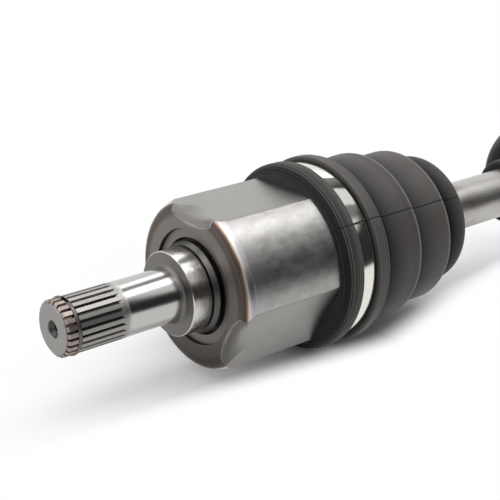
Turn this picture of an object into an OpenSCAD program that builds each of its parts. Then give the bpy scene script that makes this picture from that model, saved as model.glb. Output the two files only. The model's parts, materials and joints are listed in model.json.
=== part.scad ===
// Front drive shaft with a sliding three-roller joint at the gearbox end and
// a six-ball fixed joint at the wheel end. The shaft lies along X, with the
// wheel end at +X. The origin is the middle of the polished seal journal on
// the inboard stub, and every station below is measured from the stub's tip.

/* [Inboard stub] */
// Outer diameter of the inboard spline teeth
spline_d = 26.4; // [25.6:0.1:28]
// Number of teeth on the inboard spline
spline_teeth = 24; // [18:1:30]
// Depth of the inboard spline grooves
spline_depth = 1.5; // [1:0.1:1.8]
// Length of the inboard spline from the tip
spline_len = 31.8; // [26:0.2:38]
// Diameter of the smooth bearing stretch behind the spline
smooth_d = 26.2; // [24.6:0.1:26.4]
// Length of the smooth bearing stretch
smooth_len = 29.8; // [20:0.2:40]
// Diameter of the polished journal that the oil seal runs on
seal_d = 41; // [38:0.2:44]
// Width of the seal journal
seal_w = 10.6; // [8:0.2:14]
// Distance from the tip to the middle of the retaining ring's groove
stub_ring_at = 6.2; // [4:0.2:9]
// Wire diameter of the stub's retaining ring
stub_ring_wire = 1.8; // [1.4:0.1:2]

/* [Tripod housing] */
// Wall of the ground lobes outside the roller tracks
lobe_wall = 3.7; // [3:0.1:4.5]
// Distance from the axis to each of the three flats
flat_dist = 37.4; // [36.2:0.2:38.6]
// Gap from the seal journal to the housing's front face
face_gap = 3.3; // [2.4:0.1:5]
// Thickness of the housing's front wall
front_wall = 10.5; // [9:0.5:14]
// Depth of the roller cavity
cup_depth = 75; // [72:1:82]
// Gap between the trunnions' ends and the bottoms of the roller tracks
track_end_gap = 2; // [1.6:0.1:2.6]
// Radius of the cavity between the tracks
cavity_r = 25; // [24.4:0.1:25.6]
// Radius of the recess in the front face
recess_r = 28.5; // [26:0.1:30]
// How far the forged scallop at the front of each flat runs back
scallop_len = 12; // [8:1:20]

/* [Tripod] */
// Distance from the cavity floor to the spider's centre at rest
spider_rest = 36; // [34:0.5:38]
// Outer diameter of the crowned rollers
roller_d = 29.4; // [28.6:0.1:30]
// Width of each roller along its trunnion
roller_w = 11.6; // [10:0.2:12.4]
// Distance from the axis to the middle of each roller
roller_pitch = 27.5; // [27:0.1:28]
// Diameter of the trunnions
trunnion_d = 15.2; // [14:0.1:16]
// Diameter of the needle rollers
needle_d = 2.6; // [2:0.1:2.8]
// Number of needle rollers on each trunnion
needle_count = 20; // [12:1:20]
// Side clearance between roller and track, used up as the joint bends
track_gap = 0.5; // [0.45:0.05:0.7]
// Outer diameter of the spider's hub
spider_hub_d = 34; // [33:0.5:36]
// Half the length of the spider's hub
spider_half = 12; // [11:0.5:13]

/* [Shaft bar] */
// Diameter of the bar
bar_d = 26.6; // [26:0.1:27.6]
// Distance from the spider's centre to the centre of the ball joint
bar_span = 395; // [385:1:520]
// Outer diameter of the splines at both ends of the bar
bar_spline_d = 24.4; // [23.6:0.1:25]
// Number of teeth on the bar's splines
bar_teeth = 24; // [18:1:28]
// Depth of the bar's spline grooves
bar_spline_depth = 1.1; // [0.8:0.1:1.3]

/* [Damper] */
// Distance from the spider's centre to the damper's inboard lip
damper_at = 177; // [170:1:190]
// Length of the damper between its two lips
damper_len = 80; // [76:1:92]
// Outer diameter of the damper's rubber
damper_d = 75; // [72:0.5:82]
// Diameter of the damper's lips
damper_lip_d = 37; // [36:0.5:40]
// Outer diameter of the steel ring in the damper
mass_d = 66; // [60:0.5:68]
// Inner diameter of the steel ring in the damper
mass_bore = 48; // [44:0.5:52]
// Length of the steel ring in the damper
mass_len = 30; // [24:1:34]

/* [Boots and bands] */
// Thickness of the trilobe adapter over the housing's lobes
adapter_t = 1; // [0.8:0.1:1.4]
// Thickness of the inner boot's cuff under its band
cuff_t = 1.3; // [1.1:0.1:1.8]
// Thickness of the outer boot's cuff under its band
bell_cuff_t = 1.6; // [1.3:0.1:2.2]
// Height of the cuffs' lips beside the large bands
lip_h = 3; // [2.6:0.1:3.6]
// Height of the cuffs' inner lands, on which the shaft lies
land_h = 3.6; // [3.4:0.1:4.4]
// Width of each large band
band_w = 8.4; // [7:0.2:9]
// Thickness of the large bands
band_t = 1; // [0.8:0.1:1.2]
// Length of the inner boot's cuff
cuff_len = 27.6; // [26:0.2:30]
// Wall thickness of the boots' folds
boot_wall = 2.2; // [1.8:0.1:2.4]
// Wall thickness of the boots' necks on the bar
neck_wall = 3.2; // [2.8:0.1:3.6]
// Width of each small band
small_band_w = 7; // [6:0.5:7.5]
// Thickness of the small bands
small_band_t = 0.9; // [0.7:0.1:1]
// Diameter of the inner boot's first fold
fold1_d = 87.6; // [85:0.2:90]
// Diameter of the inner boot's second fold
fold2_d = 80.8; // [78:0.2:83]
// Height of the outer boot's first fold over the bell
crest_first = 0.4; // [0:0.2:2]
// Height of the outer boot's last fold over its neck
crest_last = 9; // [7:0.5:11]
// Length of each of the outer boot's folds
crest_pitch = 14.6; // [13:0.2:15]

/* [Ball joint] */
// Diameter of the six balls
ball_d = 16.2; // [15.6:0.1:16.4]
// Distance from the joint's centre to the middle of each ball
ball_pitch = 28; // [27.8:0.1:28.2]
// Clearance between ball and groove, used up as the joint bends
groove_gap = 0.8; // [0.75:0.05:0.85]
// Diameter of the inner race's sphere
race_d = 50.6; // [50:0.1:51]
// Diameter of the cage's outer sphere
cage_d = 60.4; // [60:0.1:60.6]
// Half the width of the cage
cage_half = 13.5; // [12.6:0.1:14]
// Distance from the joint's centre to the bell's mouth
mouth_dist = 16; // [15:0.5:16.5]
// Distance from the joint's centre to the shoulder that meets the hub
shoulder_dist = 38; // [37:0.5:42]

/* [Outboard stub] */
// Diameter of the pilot beside the shoulder
pilot_d = 34.6; // [33:0.2:37]
// Length of the pilot
pilot_len = 5; // [4:0.5:8]
// Outer diameter of the outboard spline teeth
hub_spline_d = 27.8; // [27:0.1:29]
// Number of teeth on the outboard spline
hub_teeth = 26; // [20:1:30]
// Depth of the outboard spline grooves
hub_spline_depth = 1.2; // [0.9:0.1:1.4]
// Length of the outboard spline
hub_spline_len = 38; // [32:1:44]
// Diameter of the threaded end
thread_d = 23.8; // [21.8:0.1:24]
// Length of the threaded end
thread_len = 20; // [16:1:26]

/* [Hidden] */
$fn = 96;

// Clearances: fixed fits within one assembly, turning fits, and soft parts beside moving ones
fit = 0.05;
run = 0.08;
soft = 0.3;

// Stations along the axis, from the stub's tip
seal_at = spline_len + smooth_len;
seal_end = seal_at + seal_w;
face_at = seal_end + face_gap;
floor_at = face_at + front_wall;
mouth_at = floor_at + cup_depth;
spider_at = floor_at + spider_rest;
cuff_at = mouth_at - cuff_len - 0.9;
cuff_end = cuff_at + cuff_len;
band_at = cuff_end - band_w - 8.3;
neck_end = cuff_end + 81;
ball_at = spider_at + bar_span;
bell_at = ball_at - mouth_dist;
race_ring_at = ball_at + 7.9;
shoulder_at = ball_at + shoulder_dist;
hub_spline_at = shoulder_at + pilot_len + 2;
thread_at = hub_spline_at + hub_spline_len + 2;
tip_at = thread_at + thread_len;
damper_from = spider_at + damper_at;
damper_to = damper_from + damper_len;
origin_at = seal_at + seal_w / 2;

bar_r = bar_d / 2;
roller_r = roller_d / 2;
track_half = roller_r + track_gap;
trunnion_r = trunnion_d / 2;
needle_circle = trunnion_r + needle_d / 2 + fit / 2;
roller_bore = needle_circle + needle_d / 2 + fit / 2;
roller_in = roller_pitch - roller_w / 2;
roller_out = roller_pitch + roller_w / 2;
washer_t = 1.1;
ring_t = 1.2;
washer_in = roller_out + fit;
trunnion_ring = washer_in + washer_t + fit;
trunnion_end = trunnion_ring + ring_t + 0.9;
track_end_r = trunnion_end + track_end_gap;
housing_r = track_end_r + lobe_wall;
adapter_r = housing_r + adapter_t;
seat_r = adapter_r + cuff_t;
lip_r = seat_r + lip_h;
land_r = seat_r + land_h;
lobes = [0, 120, 240];
flats = [60, 180, 300];
ball_angles = [for (i = [0:5]) 60 * i];
ball_r = ball_d / 2;
groove_r = ball_r + groove_gap;
cage_in = race_d / 2 + run;
bell_in = cage_d / 2 + run;
bell_r = seat_r - bell_cuff_t;
crest_at = bell_at - 8.6;
crest_end = crest_at - 5 * crest_pitch;
outer_band_at = bell_at + 6;
outer_neck = crest_end - 18;
neck_r = bar_r + soft + neck_wall;
chamfer = 1;
low_ear = 24;
side_ear = 75;

steel = "silver";
forged = "dimgray";
rubber = [0.2, 0.2, 0.2];
band = "gainsboro";

// Placing: a shape made along Z at the given station comes to lie along X
module at(station) {
    translate([station - origin_at, 0, 0]) rotate([0, 90, 0]) children();
}

// A solid of revolution about the shaft from [station, radius] points
module turned(points) {
    at(0) rotate_extrude() polygon([for (p = points) [p[1], p[0]]]);
}

// A plain ring about the shaft
module tube(from, to, inner, outer) {
    turned([[from, inner], [from, outer], [to, outer], [to, inner]]);
}

// Outline of a spline: flat-topped teeth with sloping flanks
function tooth_ring(r, depth, teeth) = [for (i = [0:teeth - 1]) for (c = [[0.06, 1], [0.16, 0],
    [0.40, 0], [0.50, 1]]) let (a = 360 * (i + c[0]) / teeth, d = r - depth * (1 - c[1]))
    [d * cos(a), d * sin(a)]];

// A toothed bar from one station to another
module toothed(from, to, r, depth, teeth) {
    at(from) linear_extrude(height = to - from) polygon(tooth_ring(r, depth, teeth));
}

// Point of a smooth curve between four keys, and the whole curve through a list of keys
function between(a, b, c, d, t) = 0.5 * (2 * b + (c - a) * t + (2 * a - 5 * b + 4 * c - d) * t * t
    + (3 * b - a - 3 * c + d) * t * t * t);
function smooth(keys, steps) = concat([for (i = [1:len(keys) - 3]) for (j = [0:steps - 1])
    between(keys[i - 1], keys[i], keys[i + 1], keys[i + 2], j / steps)], [keys[len(keys) - 2]]);

// The same curve moved inwards by a wall's thickness, square to itself
function inwards(curve, wall) = [for (i = [0:len(curve) - 1]) let (
    a = curve[max(i - 1, 0)], b = curve[min(i + 1, len(curve) - 1)], t = (b - a) / norm(b - a))
    curve[i] + wall * [t[1], -t[0]]];
function reversed(list) = [for (i = [len(list) - 1:-1:0]) list[i]];

// A band closed by a pinched ear, which stands up at the given angle about the axis
module ear_band(from, width, inner, thick, angle) {
    ear_h = 3.4;
    ear_w = 7;
    at(from) rotate(angle) difference() {
        union() {
            cylinder(r = inner + thick, h = width);
            translate([inner, -ear_w / 2, 0]) cube([ear_h, ear_w, width]);
            translate([inner + ear_h, 0, 0]) cylinder(d = ear_w, h = width, $fn = 24);
        }
        translate([0, 0, -1]) cylinder(r = inner, h = width + 2);
        translate([inner + thick, thick - ear_w / 2, -1])
            cube([ear_h - thick, ear_w - 2 * thick, width + 2]);
        translate([inner + ear_h, 0, -1]) cylinder(d = ear_w - 2 * thick, h = width + 2, $fn = 24);
    }
}

// An open ring of round wire about the Z axis
module wire_ring(radius, wire, gap_angle) {
    rotate_extrude(angle = 360 - gap_angle) translate([radius, 0]) circle(d = wire, $fn = 20);
}

// The housing's outline as a solid: a round with three flats
module trilobe(from, to, r, flat) {
    at(from) difference() {
        cylinder(r = r, h = to - from);
        for (a = flats) rotate(a) translate([flat, -r, -1]) cube([r, 2 * r, to - from + 2]);
    }
}

// The turned envelope of the housing: front face, rounded shoulder and ground lobes
module housing_envelope() {
    shoulder = 5;
    turned(concat([[face_at, 0]],
        [for (i = [0:6]) let (a = 15 * i) [face_at + shoulder * (1 - cos(a)),
            housing_r - 0.5 - shoulder + shoulder * sin(a)]],
        [[face_at + shoulder + 0.6, housing_r], [mouth_at - chamfer, housing_r],
        [mouth_at, housing_r - chamfer], [mouth_at, 0]]));
}

// One flat and the forged scallop that rounds its front end down to the face
module flat_cut() {
    span = mouth_at - face_at + 2;
    scallop_r = 25;
    scallop_drop = 6.4;
    middle = flat_dist - scallop_drop + scallop_r;
    at(face_at - 1) translate([flat_dist, -housing_r, 0]) cube([housing_r, 2 * housing_r, span]);
    at(face_at) translate([middle, 0, 0]) rotate_extrude() polygon(concat([[0, -1],
        [scallop_r, -1]],
        [for (i = [0:8]) let (u = i / 8) [scallop_r - scallop_drop * sin(90 * u),
            scallop_len * (1 - cos(90 * u))]],
        [[0, scallop_len]]));
}

// The cavity: three roller tracks joined round the spider, and a mouth opened out for the bar
module roller_cavity() {
    flare = 10;
    rise = 6;
    at(floor_at) {
        cylinder(r = cavity_r, h = cup_depth + 1);
        intersection() {
            cylinder(r = track_end_r, h = cup_depth + 1);
            for (a = lobes) rotate(a) translate([0, -track_half, 0])
                cube([track_end_r + 1, 2 * track_half, cup_depth + 1]);
        }
    }
    turned([[mouth_at - flare, 0], [mouth_at - flare, cavity_r],
        [mouth_at + 1, cavity_r + rise * (1 + 1 / flare)], [mouth_at + 1, 0]]);
}

// Stub with spline, smooth stretch, seal journal and rim, turned in one piece with the housing
module inboard_stub() {
    root_r = spline_d / 2 - spline_depth;
    below = root_r - 0.3;
    tip = 1.1;
    fillet = 2;
    edge = 0.5;
    groove = 0.5;
    groove_r = seal_d / 2 - 0.7;
    rim_r = seal_d / 2 + 2.1;
    neck = seal_d / 2 - 1.5;
    intersection() {
        toothed(0, spline_len - 1, spline_d / 2, spline_depth, spline_teeth);
        turned([[0, 0], [0, below], [tip, spline_d / 2], [spline_len, spline_d / 2],
            [spline_len, 0]]);
    }
    turned(concat([[spline_len - 4, 0], [spline_len - 4, below],
        [spline_len - 1.4, spline_d / 2], [spline_len, spline_d / 2],
        [spline_len + edge, smooth_d / 2]],
        [for (i = [0:6]) let (a = 15 * i) [seal_at - fillet + fillet * sin(a),
            smooth_d / 2 + fillet * (1 - cos(a))]],
        [[seal_at, seal_d / 2 - edge], [seal_at + edge, seal_d / 2],
        [seal_end, seal_d / 2], [seal_end, groove_r], [seal_end + groove, groove_r],
        [seal_end + groove, rim_r - 1.3], [face_at - edge, rim_r - 0.1], [face_at - 0.2, rim_r - 0.1],
        [face_at, rim_r - edge], [face_at, neck], [face_at + 6, neck], [face_at + 6, 0]]));
}

// Inboard housing: forged tulip with its stub
module inner_housing() {
    recess = 1.7;
    moat = 5;
    drill_r = 2;
    drill_mouth = 4.4;
    ring_r = spline_d / 2 - stub_ring_wire + 0.5;
    color(steel) difference() {
        union() {
            difference() {
                housing_envelope();
                for (a = flats) rotate([a, 0, 0]) flat_cut();
                tube(face_at - 1, face_at + recess, 1, recess_r);
                tube(face_at, face_at + moat, 1, seal_d / 2 + 3.3);
            }
            inboard_stub();
        }
        roller_cavity();
        tube(stub_ring_at - stub_ring_wire / 2 - 0.1, stub_ring_at + stub_ring_wire / 2 + 0.1,
            ring_r, spline_d);
        turned([[-1, 0], [-1, drill_mouth + 1], [drill_mouth - drill_r, drill_r], [9, drill_r],
            [10, 0]]);
    }
}

// Round-wire ring that holds the stub in the gearbox
module stub_circlip() {
    color(forged) at(stub_ring_at) rotate(200)
        wire_ring(spline_d / 2 - stub_ring_wire / 2 + 0.5 + fit, stub_ring_wire, 24);
}

// Moulded adapter that makes the trilobe housing round under the boot's cuff
module boot_adapter() {
    color(rubber) difference() {
        tube(cuff_at - 0.8, cuff_end - 1.6, 1, adapter_r);
        trilobe(cuff_at - 1.8, cuff_end, housing_r + fit, flat_dist + fit);
    }
}

// Outline of one fold: a rounded climb to the crest and a steep fall; wall sets the inner face back
function fold(from, width, low, high, after, wall) = concat(
    [for (p = [[0, 0], [0.10, 0.34], [0.24, 0.62], [0.42, 0.84], [0.58, 0.95], [0.72, 1]])
        [from + width * p[0], low - wall + (high - low) * p[1]]],
    [[from + width - wall - 3.6, high - wall - 0.2], [from + width - wall - 2.6, high - wall - 1.4],
    [from + width - wall - 2.2, high - wall - 3.4], [from + width - wall - 1.4, after - wall + 1.2]]);

// Inner boot: cuff with lip and land, two folds, and a last fold rolled back over the neck
module inner_boot() {
    inner = adapter_r + fit;
    e = cuff_end;
    valley = [39.2, 36.2, 26.6];
    start = [4.4, 28.4, 53.2];
    outer = concat(
        fold(e + start[0], start[1] - start[0], valley[0], fold1_d / 2, valley[1], 0),
        fold(e + start[1], start[2] - start[1], valley[1], fold2_d / 2, valley[2], 0),
        smooth([[e + 52, 28], [e + 55, valley[2]], [e + 56.4, 27.6], [e + 58.4, 31], [e + 61.6, 33.6],
            [e + 65.6, 34.5], [e + 69.2, 33.3], [e + 71.6, 30], [e + 72, 26], [e + 70.4, 21.6],
            [e + 67.8, neck_r + 1.6], [e + 66.8, neck_r]], 2));
    hollow = concat(
        fold(e + start[0], start[1] - start[0], valley[0], fold1_d / 2, valley[1], boot_wall),
        fold(e + start[1], start[2] - start[1], valley[1], fold2_d / 2, valley[2], boot_wall),
        smooth([[e + 51, 26], [e + 54.4, valley[2] - boot_wall], [e + 58.6, 27.4], [e + 61.8, 31],
            [e + 65.6, 32.2], [e + 68.6, 31], [e + 69.6, 28.6], [e + 69.2, 26], [e + 67, 22.6],
            [e + 63.6, neck_r + 1.8], [e + 62.4, bar_r + 2]], 2));
    color(rubber) turned(concat(
        [[cuff_at, inner], [cuff_at, seat_r - 0.4], [cuff_at + 1.2, seat_r + 0.8],
        [cuff_at + 2.6, lip_r - 0.8], [cuff_at + 4.4, lip_r],
        [band_at - 1.2, lip_r], [band_at - 0.4, lip_r - 0.8], [band_at - 0.3, seat_r],
        [band_at + band_w + 0.3, seat_r], [band_at + band_w + 0.4, lip_r - 0.6],
        [band_at + band_w + 1.4, land_r], [e - 1.8, land_r], [e - 0.4, land_r - 0.8],
        [e + 1.4, land_r - 3], [e + 2.8, valley[0] + 3.4], [e + 3.5, valley[0] + 1.4]],
        outer,
        [[e + 66.8, neck_r], [neck_end, neck_r], [neck_end, bar_r + soft], [e + 62.2, bar_r + soft]],
        reversed(hollow),
        [[mouth_at + soft, valley[0] + 0.4], [mouth_at + soft, inner - 1.2],
        [mouth_at - 0.6, inner]]));
}

// Stainless band round the inner boot's cuff. Its ear is low on the far side, and the outer boot's low on the
// near side, so that the shaft doesn't roll where it lies.
module inner_large_clamp() {
    color(band) ear_band(band_at, band_w, seat_r + fit, band_t, low_ear);
}

// Band round the inner boot's neck
module inner_small_clamp() {
    color(band) ear_band(neck_end - small_band_w - 1.4, small_band_w, neck_r + soft, small_band_t, side_ear);
}

// Spider: splined hub with three trunnions
module spider() {
    groove = 0.8;
    color(steel) difference() {
        union() {
            turned([[spider_at - spider_half, 0], [spider_at - spider_half, spider_hub_d / 2 - 2],
                [spider_at - spider_half + 2, spider_hub_d / 2],
                [spider_at + spider_half - 2, spider_hub_d / 2],
                [spider_at + spider_half, spider_hub_d / 2 - 2], [spider_at + spider_half, 0]]);
            for (a = lobes) on_trunnion(a) rotate_extrude() polygon([[0, 8], [11, 8],
                [11, roller_in - 1.6], [trunnion_r, roller_in - 0.6],
                [trunnion_r, trunnion_ring - fit], [trunnion_r - groove, trunnion_ring - fit],
                [trunnion_r - groove, trunnion_ring + ring_t + fit],
                [trunnion_r, trunnion_ring + ring_t + fit], [trunnion_r, trunnion_end - 0.4],
                [trunnion_r - 0.4, trunnion_end], [0, trunnion_end]]);
        }
        toothed(spider_at - spider_half - 1, spider_at + spider_half + 1,
            bar_spline_d / 2 + fit, bar_spline_depth, bar_teeth);
    }
}

// Placing on a trunnion: Z of the child runs out along it, from the spider's centre
module on_trunnion(a) {
    at(spider_at) rotate(a) rotate([0, 90, 0]) children();
}

// Snap ring at the bar's end, against the spider
module spider_snap_ring() {
    color(forged) at(spider_at - spider_half - 1.9) rotate_extrude(angle = 330)
        translate([bar_spline_d / 2 - 2.2, 0]) square([3.4, 1.7]);
}

// One set of loose needles round a trunnion
module needle_set(i) {
    color(steel) on_trunnion(lobes[i - 1]) for (n = [0:needle_count - 1])
        rotate(360 * n / needle_count) translate([needle_circle, 0, roller_in + 0.4])
            cylinder(d = needle_d, h = roller_w - 0.8, $fn = 24);
}

// One crowned roller
module roller(i) {
    color(steel) on_trunnion(lobes[i - 1]) difference() {
        translate([0, 0, roller_pitch]) intersection() {
            sphere(r = roller_r);
            cube([2 * roller_r, 2 * roller_r, roller_w], center = true);
        }
        cylinder(r = roller_bore, h = 2 * roller_pitch);
    }
}

// Thrust washers over the rollers
module roller_washers() {
    color(steel) for (a = lobes) on_trunnion(a) difference() {
        translate([0, 0, washer_in]) cylinder(r = roller_bore + 1.6, h = washer_t);
        cylinder(r = trunnion_r + fit, h = trunnion_end);
    }
}

// Snap rings that hold the washers on the trunnions
module roller_circlips() {
    color(forged) for (a = lobes) on_trunnion(a) rotate_extrude(angle = 320)
        translate([trunnion_r - 0.8 + fit, trunnion_ring]) square([2.4, ring_t]);
}

// The bar with its splined ends, necks and ring grooves
module shaft_bar() {
    root = bar_spline_d / 2 - bar_spline_depth - 0.3;
    in_end = spider_at - spider_half - 4.6;
    out_end = ball_at + 14.6;
    color(steel) difference() {
        union() {
            intersection() {
                union() {
                    toothed(in_end, spider_at + spider_half + 1, bar_spline_d / 2,
                        bar_spline_depth, bar_teeth);
                    toothed(ball_at - 13, out_end, bar_spline_d / 2, bar_spline_depth, bar_teeth);
                }
                turned([[in_end, 0], [in_end, root], [in_end + 1.4, bar_spline_d / 2 + 1],
                    [out_end - 1.4, bar_spline_d / 2 + 1], [out_end, root], [out_end, 0]]);
            }
            turned([[spider_at + spider_half, 0], [spider_at + spider_half, root],
                [spider_at + spider_half + 2, bar_spline_d / 2],
                [spider_at + spider_half + 22, bar_spline_d / 2],
                [spider_at + spider_half + 32, bar_r], [ball_at - 70, bar_r],
                [ball_at - 60, bar_spline_d / 2 - 0.6], [ball_at - 16, bar_spline_d / 2 - 0.6],
                [ball_at - 13, bar_spline_d / 2 + 1.4], [ball_at - 12.2, bar_spline_d / 2 + 1.4],
                [ball_at - 12.2, root], [ball_at - 12, 0]]);
        }
        tube(spider_at - spider_half - 2, spider_at - spider_half - 0.1,
            bar_spline_d / 2 - 2.2 - fit, bar_r + 2);
        tube(race_ring_at - 1, race_ring_at + 1, bar_spline_d / 2 - 2.1, bar_r + 2);
    }
}

// Rubber damper on the bar, moulded round its steel ring
module damper_rubber() {
    from = damper_from;
    to = damper_to;
    top = damper_d / 2;
    lip = damper_lip_d / 2;
    middle = (from + to) / 2;
    lip_len = 15;
    rise = 22;
    step = 0.6;
    shoulder = [for (i = [0:8]) let (a = 90 * i / 8) [lip_len + rise * (1 - cos(a)),
        lip + step + (top - lip - step) * sin(a)]];
    color(rubber) difference() {
        turned(concat([[from, bar_r + fit], [from, lip - 1.6], [from + 1.6, lip],
            [from + lip_len - 1, lip]],
            [for (p = shoulder) [from + p[0], p[1]]],
            [for (p = reversed(shoulder)) [to - p[0], p[1]]],
            [[to - lip_len + 1, lip], [to - lip_len + 1, lip - 1.2], [to - 4, lip - 1.2],
            [to - 3.9, lip - 0.4], [to, lip - 0.8], [to, bar_r + fit]]));
        tube(middle - mass_len / 2 - fit, middle + mass_len / 2 + fit, mass_bore / 2 - fit,
            mass_d / 2 + fit);
    }
}

// Steel ring inside the damper
module damper_mass() {
    middle = (damper_from + damper_to) / 2;
    color(forged) tube(middle - mass_len / 2, middle + mass_len / 2, mass_bore / 2, mass_d / 2);
}

// Band that grips the damper's outboard lip on the bar
module damper_clamp() {
    color(band) ear_band(damper_to - 12.6, 7.8, damper_lip_d / 2 - 1.2 + fit, small_band_t, side_ear);
}

// Outer boot: cuff on the bell, five folds and a neck on the bar
module outer_boot() {
    inner = bell_r + fit;
    e = bell_at - 3;
    cuff_to = ball_at + 6;
    seat = outer_band_at;
    first = bell_r + crest_first;
    last = neck_r + crest_last;
    folds = [for (i = [0:4]) for (p = [[0, -4.6], [2.6, -1.2], [6, 0], [9.4, -1.2], [12, -4.8]])
        [crest_at - crest_pitch * i - p[0], first + (last - first) * i / 4 + p[1] - 0.32 * p[0]]];
    keys = concat([[e + 2, land_r - 1.8], [e, land_r - 2.6], [e - 2.6, first - 2]], folds,
        [[crest_end - 3, neck_r + 0.6], [crest_end - 6, neck_r], [crest_end - 10, neck_r]]);
    outer = smooth(keys, 3);
    wall = inwards(reversed(outer), boot_wall);
    color(rubber) turned(concat(
        [[cuff_to, inner], [cuff_to, lip_r - 1.2], [cuff_to - 1.4, lip_r],
        [seat + band_w + 1.2, lip_r], [seat + band_w + 0.4, lip_r - 0.8],
        [seat + band_w + 0.3, seat_r], [seat - 0.3, seat_r], [seat - 0.4, lip_r - 0.6],
        [seat - 1.4, land_r], [e + 2.6, land_r], [e + 1.2, land_r - 0.8]],
        outer,
        [[outer_neck, neck_r], [outer_neck, bar_r + soft], [crest_end - 4, bar_r + soft]],
        [for (i = [5:len(wall) - 6]) wall[i]],
        [[e - 2, inner - 3], [bell_at - soft, inner - 3], [bell_at - soft, inner]]));
}

// Stainless band round the outer boot's cuff
module outer_large_clamp() {
    color(band) ear_band(outer_band_at, band_w, seat_r + fit, band_t, -low_ear);
}

// Band round the outer boot's neck
module outer_small_clamp() {
    color(band) ear_band(outer_neck + 2, small_band_w, neck_r + soft, small_band_t, side_ear);
}

// Ball grooves: round channels swept about the joint's centre, one for each ball
module ball_grooves(span) {
    for (a = ball_angles) at(ball_at) rotate(a) rotate([90, 0, 0]) rotate([0, 0, -span])
        rotate_extrude(angle = 2 * span) translate([ball_pitch, 0]) circle(r = groove_r, $fn = 48);
}

// Inner race: splined ball with six grooves
module inner_race() {
    half = 12;
    color(steel) difference() {
        at(ball_at) intersection() {
            sphere(d = race_d);
            cylinder(d = race_d + 2, h = 2 * half, center = true);
        }
        ball_grooves(50);
        toothed(ball_at - half - 1, ball_at + half + 1, bar_spline_d / 2 + fit, bar_spline_depth,
            bar_teeth);
        tube(race_ring_at - 1, race_ring_at + 1, 1, bar_spline_d / 2 + 0.3);
    }
}

// Wire ring that locks the inner race on the bar
module race_snap_ring() {
    color(forged) at(race_ring_at) wire_ring(bar_spline_d / 2 - 1.1, 1.7, 30);
}

// Cage with a window for each ball
module cage() {
    window = 9.6;
    color(steel) difference() {
        at(ball_at) intersection() {
            sphere(d = cage_d);
            cylinder(d = cage_d + 2, h = 2 * cage_half, center = true);
        }
        at(ball_at) sphere(r = cage_in);
        for (a = ball_angles) at(ball_at) rotate(a) translate([cage_in - 8, -window, -ball_r - fit])
            cube([20, 2 * window, 2 * (ball_r + fit)]);
    }
}

// One ball
module ball(i) {
    color("white") at(ball_at) rotate(ball_angles[i - 1]) translate([ball_pitch, 0, 0])
        sphere(r = ball_r);
}

// Outer race: bell with ball grooves inside and the hub's stub behind
module outer_race() {
    r = bell_r;
    root = hub_spline_d / 2 - hub_spline_depth;
    s = shoulder_at;
    dome = 18;
    dome_r = 12;
    swing = 42;
    drill_r = 2.2;
    color(steel) difference() {
        union() {
            turned(concat([[bell_at, 0], [bell_at, r - 1], [bell_at + 1, r], [s - dome, r]],
                [for (i = [1:6]) let (a = 15 * i) [s - dome + dome_r * sin(a),
                    r - dome_r * (1 - cos(a))]],
                [[s - 6, r - dome_r - 1], [s - 1, r - dome_r - 1], [s, r - dome_r - 2],
                [s, pilot_d / 2],
                [s + pilot_len - 1, pilot_d / 2], [s + pilot_len, pilot_d / 2 - 1],
                [s + pilot_len, root], [hub_spline_at + hub_spline_len, root],
                [thread_at, thread_d / 2 - 1.2], [thread_at + 1.4, thread_d / 2],
                [tip_at - 1.5, thread_d / 2], [tip_at, thread_d / 2 - 1.5], [tip_at, 0]]));
            intersection() {
                toothed(shoulder_at + 2, hub_spline_at + hub_spline_len, hub_spline_d / 2,
                    hub_spline_depth, hub_teeth);
                turned([[hub_spline_at - 2, 0], [hub_spline_at - 2, root],
                    [hub_spline_at - 0.4, hub_spline_d / 2],
                    [hub_spline_at + hub_spline_len - 1.4, hub_spline_d / 2],
                    [hub_spline_at + hub_spline_len, root], [hub_spline_at + hub_spline_len, 0]]);
            }
        }
        at(ball_at) sphere(r = bell_in);
        turned([[bell_at - 1, 0], [bell_at - 1, r - 9], [bell_at, r - 10], [ball_at - 7, bell_in - 2],
            [ball_at - 7, 0]]);
        ball_grooves(swing);
        turned([[tip_at + 1, 0], [tip_at + 1, 4], [tip_at - 2, drill_r], [tip_at - 12, drill_r],
            [tip_at - 13, 0]]);
    }
}

inner_housing();
stub_circlip();
boot_adapter();
inner_boot();
inner_large_clamp();
inner_small_clamp();
spider();
spider_snap_ring();
needle_set(1);  // needle_set_1
needle_set(2);  // needle_set_2
needle_set(3);  // needle_set_3
roller(1);  // roller_1
roller(2);  // roller_2
roller(3);  // roller_3
roller_washers();
roller_circlips();
shaft_bar();
damper_rubber();
damper_mass();
damper_clamp();
outer_boot();
outer_large_clamp();
outer_small_clamp();
inner_race();
race_snap_ring();
cage();
ball(1);  // ball_1
ball(2);  // ball_2
ball(3);  // ball_3
ball(4);  // ball_4
ball(5);  // ball_5
ball(6);  // ball_6
outer_race();
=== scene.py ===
# A front drive shaft on a pale studio floor: inboard stub and forged housing, folded rubber boot with its
# stainless band, the bar with its damper, and the outer boot and bell with the hub's stub.
import json
import math

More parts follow.
